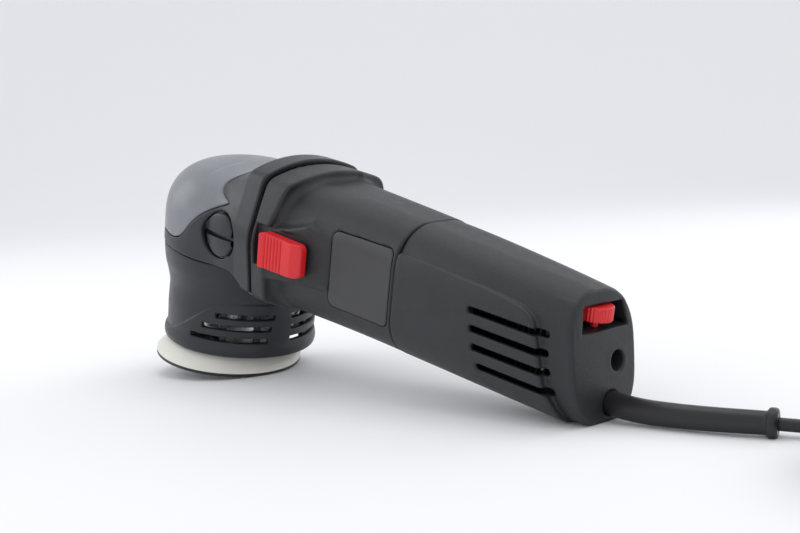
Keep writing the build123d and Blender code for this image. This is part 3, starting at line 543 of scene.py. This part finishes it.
def label_window(x, z, margin):
    """The outline of the side panel, with a margin round it."""
    return rounded_box(x - 116.8, z - 74.5, 19.0 + margin, 17.5 + margin, 3.5 + margin)


def motor_housing_field(x, y, z):
    outer = housing_outer(x, y, z)
    front = larger(rim_outline(y, z, FLANGE) + 4.0, x - flange_back(y, z) + 3.5, 0.5)
    hollow = smaller(barrel(x, y, z, BARREL) + SHELL, front, 0.5)
    field = less(outer, hollow, 0.5)
    field = larger(field, FLANGE_FRONT - x, EDGE)
    field = larger(field, x - COVER_FRONT, EDGE)
    bed = y + np.interp(x, (51.0, 90.0, 97.5), (33.4, 31.2, 27.4))
    channel = larger(bed, np.abs(z - SWITCH_Z) - CHANNEL_HALF, 0.8)
    field = less(field, larger(channel, CHANNEL_FRONT - x, 0.4), 0.9)
    stem = larger(np.maximum(np.abs(x - 69.5) - 11.0, np.abs(z - SWITCH_Z) - 3.5), y + 20.0, 0.3)
    field = less(field, stem, 0.4)
    seat = larger(label_window(x, z, 0.25), -1.0 - barrel(x, y, z, BARREL), 0.3)
    seat = larger(seat, 15.0 - np.abs(y), 0.3)
    return less(field, seat, 0.4)


def inlay_field(x, y, z):
    skin = barrel(x, y, z, BARREL)
    plate = larger(skin - 0.15, -0.8 - skin, 0.3)
    plate = larger(plate, label_window(x, z, 0.0), 0.5)
    return larger(plate, 15.0 - np.abs(y), 0.3)


# ---------------------------------------------------------------- slide switch

SLIDER_FRONT = 59.8
SLIDER_BACK = 86.8
SLIDER_TOP = 83.8
SLIDER_LOW = 67.0
GROOVE_FIRST = 64.6
GROOVE_PITCH = 2.3
GROOVE_COUNT = 6
GROOVE_DEPTH = 1.1


def slider_field(x, y, z):
    """The red slider: a scooped front, ribs across it, a smooth rear with a bevelled end."""
    face = np.interp(x, (59.0, 61.5, 64.0, 76.0, 82.5, 87.0), (38.2, 40.2, 39.2, 39.0, 38.4, 35.4))
    grooves = 0.0
    for k in range(GROOVE_COUNT):
        grooves = grooves + GROOVE_DEPTH * np.exp(-((x - GROOVE_FIRST - GROOVE_PITCH * k) / 0.5) ** 2)
    top = SLIDER_TOP - 0.04 * (x - SLIDER_FRONT)
    outline = rounded_box(x - (SLIDER_FRONT + SLIDER_BACK) / 2, z - (top + SLIDER_LOW) / 2,
                          (SLIDER_BACK - SLIDER_FRONT) / 2, (top - SLIDER_LOW) / 2, 2.8)
    field = larger(outline, -y - face + grooves, 1.0)
    back = np.interp(x, (51.0, 90.0), (33.8, 31.8))
    field = larger(field, y + back, 0.3)
    stem = np.maximum(np.abs(x - 71.0) - 6.0, np.abs(z - SWITCH_Z) - 2.8)
    return np.minimum(field, larger(stem, np.abs(y + 30.5) - 4.4, 0.3))


# ---------------------------------------------------------------- tail

END_FACE_X = 234.0
END_FACE_Z = 71.0
END_BULGE = 0.0016
PANEL_EDGE = through([
    (120, 92.0), (150, 91.0), (185, 89.4), (204, 87.6), (210.6, 86.0), (215.2, 82.7), (217.5, 77.2),
    (220.6, 67.3), (223.3, 58.6), (226.7, 52.9), (229.5, 46.0)])
VENT_ROWS = [(182.8, 220.6, 78.9), (184.5, 221.2, 71.3), (186.5, 223.0, 63.9), (189.9, 226.0, 56.4)]
VENT_HALF = 1.35
SLEEVE_START = (226.0, 3.0, 11.2)
SLEEVE_NEXT = (244.0, 3.0, 7.2)
SCREW = (7.5, 68.0)


def tail_body(x, y, z, inset=0.0):
    """The tail: the narrow tip, with the wider side panels standing proud of it."""
    station = np.maximum(x, OVAL[0][0])
    half = quadratic(station, OVAL, 1)
    middle = (quadratic(station, TIP, 2) + quadratic(station, TIP, 3)) / 2
    tall = quadratic(station, OVAL, 2)
    reach = (np.abs(y) / half) ** OVAL_POWER + (np.abs(z - middle) / tall) ** OVAL_POWER
    oval = (reach ** (1 / OVAL_POWER) - 1.0) * half
    tip = larger(barrel(x, y, z, TIP), oval, 2.0) + inset
    area = polygon(x, z, np.vstack([PANEL_EDGE, [(231, 36), (120, 36)]]))
    wide = larger(barrel(x, y, z, TAIL) + inset, area + inset, 1.2)
    return smaller(tip, wide, 0.8)


def end_face(x, z):
    """Distance behind the slanted end face."""
    return (x - END_FACE_X) * math.cos(TILT) - (END_FACE_Z - z) * math.sin(TILT)


def sleeve_room(x, y, z, radius):
    start = np.array(SLEEVE_START)
    way = np.array(SLEEVE_NEXT) - start
    way = way / np.linalg.norm(way)
    c = math.cos(TILT)
    s = math.sin(TILT)
    floor_x = c * x + s * z - start[0]
    floor_y = y - start[1]
    floor_z = -s * x + c * z + ORIGIN[2] / MM - start[2]
    along = floor_x * way[0] + floor_y * way[1] + floor_z * way[2]
    out = np.sqrt(np.maximum(floor_x ** 2 + floor_y ** 2 + floor_z ** 2 - along ** 2, 0.0))
    return out - radius


def dial_window(x, y, z):
    """The window of the dial, wider at its bottom."""
    half = 12.0 + 2.4 * (91.6 - z) / 10.0
    field = larger(np.abs(y - 1.2) - half, np.abs(z - 86.0) - 5.0, 0.8)
    return larger(field, 220.0 - x, 0.3)


def vent_slots(x, z):
    field = 1e3
    for front, back, height in VENT_ROWS:
        half = (back - front) / 2 + VENT_HALF
        slot = rounded_box(x - (front + back) / 2, z - height, half, VENT_HALF, VENT_HALF)
        field = np.minimum(field, slot)
    return field


def rear_cover_field(x, y, z):
    bulge = END_BULGE * (y ** 2 + (z - END_FACE_Z) ** 2)
    outer = larger(tail_body(x, y, z), end_face(x, z) + bulge - 0.8, 1.8)
    floor_level = -math.sin(TILT) * x + math.cos(TILT) * z + ORIGIN[2] / MM
    outer = larger(outer, 0.02 - floor_level, 0.8)
    hollow = larger(tail_body(x, y, z, SHELL), end_face(x, z) + 3.0, 2.0)
    field = less(outer, hollow, 0.5)
    field = larger(field, COVER_FRONT + SEAM * 0.5 - x, EDGE)
    box = larger(np.maximum(np.abs(y) - 16.0, np.abs(z - 86.7) - 6.5), 219.0 - x, 0.3)
    field = smaller(field, larger(outer, box, 0.3), 0.4)
    post = larger(np.hypot(y - SCREW[0], z - SCREW[1]) - 6.2, 206.0 - x, 0.3)
    field = smaller(field, larger(outer, post, 0.3), 0.4)
    field = less(field, dial_window(x, y, z), 0.8)
    field = less(field, larger(np.hypot(y - SCREW[0], z - SCREW[1]) - 4.2, 214.0 - x, 0.3), 0.8)
    field = less(field, larger(vent_slots(x, z), 15.0 - np.abs(y), 0.3), 0.9)
    return less(field, sleeve_room(x, y, z, 5.2), 0.6)


# ---------------------------------------------------------------- speed dial

DIAL_CENTRE = ((np.array(joints["dial_turn"]["pos_m"]) - ORIGIN) @ AXES.T) / MM
DIAL_RADIUS = 7.3
DIAL_LOW = 84.4
DIAL_HIGH = 90.4
KNURLS = 30
KNURL_DEPTH = 0.28


def dial_field(x, y, z):
    """A knurled thumb wheel on its shaft."""
    u = x - DIAL_CENTRE[0]
    v = y - DIAL_CENTRE[1]
    out = np.hypot(u, v)
    knurl = KNURL_DEPTH * np.abs(np.sin(np.arctan2(v, u) * KNURLS / 2))
    level = np.abs(z - (DIAL_LOW + DIAL_HIGH) / 2) - (DIAL_HIGH - DIAL_LOW) / 2
    wheel = larger(out - DIAL_RADIUS + KNURL_DEPTH - knurl, level, 0.6)
    return np.minimum(wheel, larger(out - 1.6, np.abs(z - 83.0) - 2.0, 0.2))


# ---------------------------------------------------------------- the shells as pieces

shell_piece("head_cap_shell", head_cap_field, (-44, -44, 60), (40, 44, 108), 0.7,
            "root", GREY, ("head_cap",))
shell_piece("head_collar_shell", head_collar_field, (-44, -44, 46), (52, 44, 114), 0.6,
            "root", BLACK_SATIN, ("head_collar",))
shell_piece("neck_shell", neck_field, (-44, -44, 7), (44, 44, 64), 0.6,
            "root", BLACK_SATIN, ("neck_shroud",))
shell_piece("motor_shell", motor_housing_field, (49, -41, 38), (140, 41, 114), 0.7,
            "root", BLACK, ("motor_housing",))
shell_piece("tail_shell", rear_cover_field, (136, -28, 38), (244, 28, 107), 0.7,
            "root", BLACK, ("rear_cover",))
shell_piece("speed_wheel", dial_field, (218, -9, 80), (235.5, 9, 93), 0.25,
            "dial", RED, ("speed_dial",))
shell_piece("slide_button_red", slider_field, (56, -42, 65), (91, -25, 87), 0.35,
            "slider", RED, ("slide_button",))
for side_name, plug_y, label_y in (("left", (-40, -30), (-40, -20)), ("right", (30, 40), (20, 40))):
    shell_piece("side_plug_" + side_name + "_cap", plug_field, (11, plug_y[0], 61), (37, plug_y[1], 87), 0.3,
                "root", BLACK_SATIN, ("side_plug_" + side_name,))
    shell_piece("side_label_" + side_name, inlay_field, (96, label_y[0], 55), (138, label_y[1], 94), 0.4,
                "root", INLAY, ("side_inlay_" + side_name,))

# ---------------------------------------------------------------- cord

CORD_RADIUS = 2.5
COIL_CENTRE = (379.0, 2.3)
SLEEVE_ROUTE = [
    (226.0, 3.0, 11.2),
    (244.0, 3.0, 7.2),
    (258.0, 3.4, 5.6),
    (274.0, 4.7, 5.3),
    (290.0, 7.6, 5.3),
    (306.0, 12.3, 5.2),
]
CORD_ROUTE = [(210.4, 3.0, 14.7)] + SLEEVE_ROUTE + [
    (320.0, 18.4, 4.3),
    (334.0, 25.0, 3.6),
    (350.0, 32.0, 3.4),
    (368.0, 38.6, 3.4),
]
CORD_END_ROUTE = [
    (344.4, 21.3, 18.4),
    (348.4, 34.3, 15.4),
    (357.0, 45.3, 11.0),
    (370.0, 52.8, 7.6),
    (384.5, 56.5, 6.85),
    (399.0, 58.3, 6.85),
]
LAYER_HEIGHTS = (3.4, 8.6, 13.8, 19.0)
TURNS_PER_LAYER = 4
WIDEST_TURN = 38.0
TURN_PITCH = 5.2
POINTS_PER_TURN = 16
COIL_START = 107.0
COIL_SWEEP = 360.0 * 15 + 302.0
RISE_SWEEP = 45.0


def coil_points():
    """The coil's turns, wound inwards and outwards in layers, with a short rise between layers."""
    steps = round(COIL_SWEEP / 360.0 * POINTS_PER_TURN)
    per_layer = COIL_SWEEP / len(LAYER_HEIGHTS)
    points = []
    for k in range(1, steps + 1):
        turned = COIL_SWEEP * k / steps
        layer = min(int(turned / per_layer), len(LAYER_HEIGHTS) - 1)
        share = (turned - layer * per_layer) / (per_layer - RISE_SWEEP)
        inward = layer % 2 == 0
        travel = min(share, 1.0)
        offset = travel if inward else 1.0 - travel
        radius = WIDEST_TURN - TURN_PITCH * TURNS_PER_LAYER * offset
        rise = 0.0
        if share > 1.0 and layer + 1 < len(LAYER_HEIGHTS):
            rise = (turned - layer * per_layer - (per_layer - RISE_SWEEP)) / RISE_SWEEP
        step = LAYER_HEIGHTS[min(layer + 1, len(LAYER_HEIGHTS) - 1)] - LAYER_HEIGHTS[layer]
        height = LAYER_HEIGHTS[layer] + step * rise
        angle = math.radians(COIL_START - turned)
        place_x = COIL_CENTRE[0] + radius * math.cos(angle)
        place_y = COIL_CENTRE[1] + radius * math.sin(angle)
        points.append((place_x, place_y, height))
    return points


def spline_curve(name, points, radius):
    curve = bpy.data.curves.new(name, "CURVE")
    curve.dimensions = "3D"
    curve.bevel_depth = radius * MM
    curve.bevel_resolution = 5
    curve.resolution_u = 6
    curve.use_fill_caps = True
    spline = curve.splines.new("NURBS")
    spline.points.add(len(points) - 1)
    for target, place in zip(spline.points, from_floor(points)):
        target.co = (*place, 1.0)
    spline.order_u = 3
    spline.use_endpoint_u = True
    return curve


SLEEVE_RINGS = [
    (-2.0, 4.9), (-2.0, 7.2), (0.6, 7.4), (1.4, 6.6), (1.8, 5.3), (2.6, 5.15), (20.0, 5.05), (50.0, 4.8),
    (82.0, 4.5), (83.0, 4.55), (83.6, 5.0), (83.9, 5.6), (84.5, 5.95), (86.2, 6.0), (87.0, 5.7), (87.4, 5.0),
    (87.4, 2.6), (80.0, 2.6),
]
SIDES = 48


def strain_relief():
    """The rubber sleeve, turned along the first part of the cord, with its end ring."""
    line = through(from_floor(SLEEVE_ROUTE + [CORD_ROUTE[7]]), 24)
    lengths = np.concatenate([[0.0], np.cumsum(np.linalg.norm(np.diff(line, axis=0), axis=1))]) / MM
    points = []
    for station, radius in dense(SLEEVE_RINGS):
        along = max(station, 0.0)
        at, ahead, behind = [np.array([np.interp(s, lengths, line[:, k]) for k in range(3)])
                             for s in (along, along + 1.0, along - 1.0)]
        way = ahead - behind
        way = way / np.linalg.norm(way)
        at = at + way * min(station, 0.0) * MM
        sideways = np.cross(way, (0.0, 0.0, 1.0))
        sideways = sideways / np.linalg.norm(sideways)
        upwards = np.cross(sideways, way)
        for k in range(SIDES):
            turn = 2 * math.pi * k / SIDES
            points.append(at + radius * MM * (math.cos(turn) * sideways + math.sin(turn) * upwards))
    rings = len(points) // SIDES
    faces = []
    for r in range(rings - 1):
        for k in range(SIDES):
            n = (k + 1) % SIDES
            faces.append((r * SIDES + k, r * SIDES + n, (r + 1) * SIDES + n, (r + 1) * SIDES + k))
    faces.append(tuple(range(SIDES))[::-1])
    faces.append(tuple((rings - 1) * SIDES + k for k in range(SIDES)))
    mesh = mesh_from("cord_sleeve", points, faces)
    return add_object("cord_sleeve", mesh, "root", RUBBER, ("strain_relief",))


def dense(rings, longest=3.0):
    """The same rings with long stretches divided."""
    out = [rings[0]]
    for (s0, r0), (s1, r1) in zip(rings, rings[1:]):
        count = max(1, math.ceil(abs(s1 - s0) / longest))
        for k in range(1, count + 1):
            out.append((s0 + (s1 - s0) * k / count, r0 + (r1 - r0) * k / count))
    return out


sleeve = strain_relief()
whole_route = CORD_ROUTE + coil_points() + CORD_END_ROUTE
cord = add_object("mains_lead", spline_curve("mains_lead", whole_route, CORD_RADIUS),
                  "root", RUBBER, ("cord", "cord_coil", "cord_end"))

# ---------------------------------------------------------------- floor, light, camera


AZIMUTH = math.radians(47.026)
ELEVATION = math.radians(6.122)
ROLL = math.radians(-3.367)
DISTANCE = 0.599
LENS = 59.2
LOOKED_AT = (128.84, 0.0, 57.78)
SWEEP_START = 1.2
SWEEP_RADIUS = 1.6
WALL_TOP = 4.5
BACKDROP_HALF = 5.0
BACKDROP_TURN = math.radians(47.0)
FLOOR_COLOUR = (0.93, 0.935, 0.95, 1.0)
WORLD_COLOUR = (0.93, 0.94, 0.965, 1.0)
WORLD_STRENGTH = 0.88


def backdrop():
    """A pale floor that curves up into a wall far behind."""
    rows = [(-3.0, 0.0), (SWEEP_START, 0.0)]
    for degrees in range(6, 91, 6):
        angle = math.radians(degrees)
        out = SWEEP_START + SWEEP_RADIUS * math.sin(angle)
        rows.append((out, SWEEP_RADIUS - SWEEP_RADIUS * math.cos(angle)))
    rows.append((SWEEP_START + SWEEP_RADIUS, WALL_TOP))
    c = math.cos(BACKDROP_TURN)
    s = math.sin(BACKDROP_TURN)
    points = []
    for out, up in rows:
        for across in (-BACKDROP_HALF, BACKDROP_HALF):
            points.append((across * c - out * s, across * s + out * c, up))
    faces = [(2 * k, 2 * k + 1, 2 * k + 3, 2 * k + 2) for k in range(len(rows) - 1)]
    data = bpy.data.meshes.new("backdrop")
    data.from_pydata(points, [], faces)
    data.polygons.foreach_set("use_smooth", [True] * len(faces))
    floor = bpy.data.objects.new("backdrop", data)
    bpy.context.scene.collection.objects.link(floor)
    material, nodes, links, shader = material_nodes("backdrop")
    shader.inputs["Base Color"].default_value = FLOOR_COLOUR
    shader.inputs["Roughness"].default_value = 0.6
    shader.inputs["Specular IOR Level"].default_value = 0.2
    data.materials.append(material)


def pale_world():
    """An even, pale world, shown with the plain view transform so that white stays white."""
    world = bpy.data.worlds.new("studio")
    world.use_nodes = True
    world.node_tree.nodes["Background"].inputs["Color"].default_value = WORLD_COLOUR
    world.node_tree.nodes["Background"].inputs["Strength"].default_value = WORLD_STRENGTH
    bpy.context.scene.world = world
    bpy.context.scene.view_settings.view_transform = "Standard"


def area_light(name, place, target, size, power):
    lamp = bpy.data.lights.new(name, "AREA")
    lamp.shape = "RECTANGLE"
    lamp.size = size[0]
    lamp.size_y = size[1]
    lamp.energy = power
    obj = bpy.data.objects.new(name, lamp)
    bpy.context.scene.collection.objects.link(obj)
    obj.location = place
    obj.rotation_euler = (Vector(target) - Vector(place)).to_track_quat("-Z", "Y").to_euler()


def camera():
    """The camera: 47 degrees round from the side, 6 degrees up, rolled a little."""
    target = Vector(from_floor(LOOKED_AT))
    back = Vector((math.sin(AZIMUTH) * math.cos(ELEVATION), -math.cos(AZIMUTH) * math.cos(ELEVATION),
                   math.sin(ELEVATION)))
    right = Vector((math.cos(AZIMUTH), math.sin(AZIMUTH), 0.0))
    up = back.cross(right)
    right_rolled = right * math.cos(ROLL) + up * math.sin(ROLL)
    up_rolled = up * math.cos(ROLL) - right * math.sin(ROLL)
    data = bpy.data.cameras.new("camera")
    data.lens = LENS
    data.clip_start = 0.01
    obj = bpy.data.objects.new("camera", data)
    bpy.context.scene.collection.objects.link(obj)
    turn = Matrix((right_rolled, up_rolled, back)).transposed()
    obj.matrix_world = Matrix.Translation(target + back * DISTANCE) @ turn.to_4x4()
    bpy.context.scene.camera = obj


backdrop()
pale_world()
area_light("top", (0.0, 0.15, 1.0), (0.0, 0.0, 0.05), (1.0, 0.7), 2.2)
area_light("left", (-0.9, -0.5, 0.6), (0.0, 0.0, 0.05), (0.7, 0.7), 2.4)
area_light("back", (0.2, 0.9, 0.5), (0.05, 0.0, 0.05), (0.9, 0.4), 1.5)
camera()
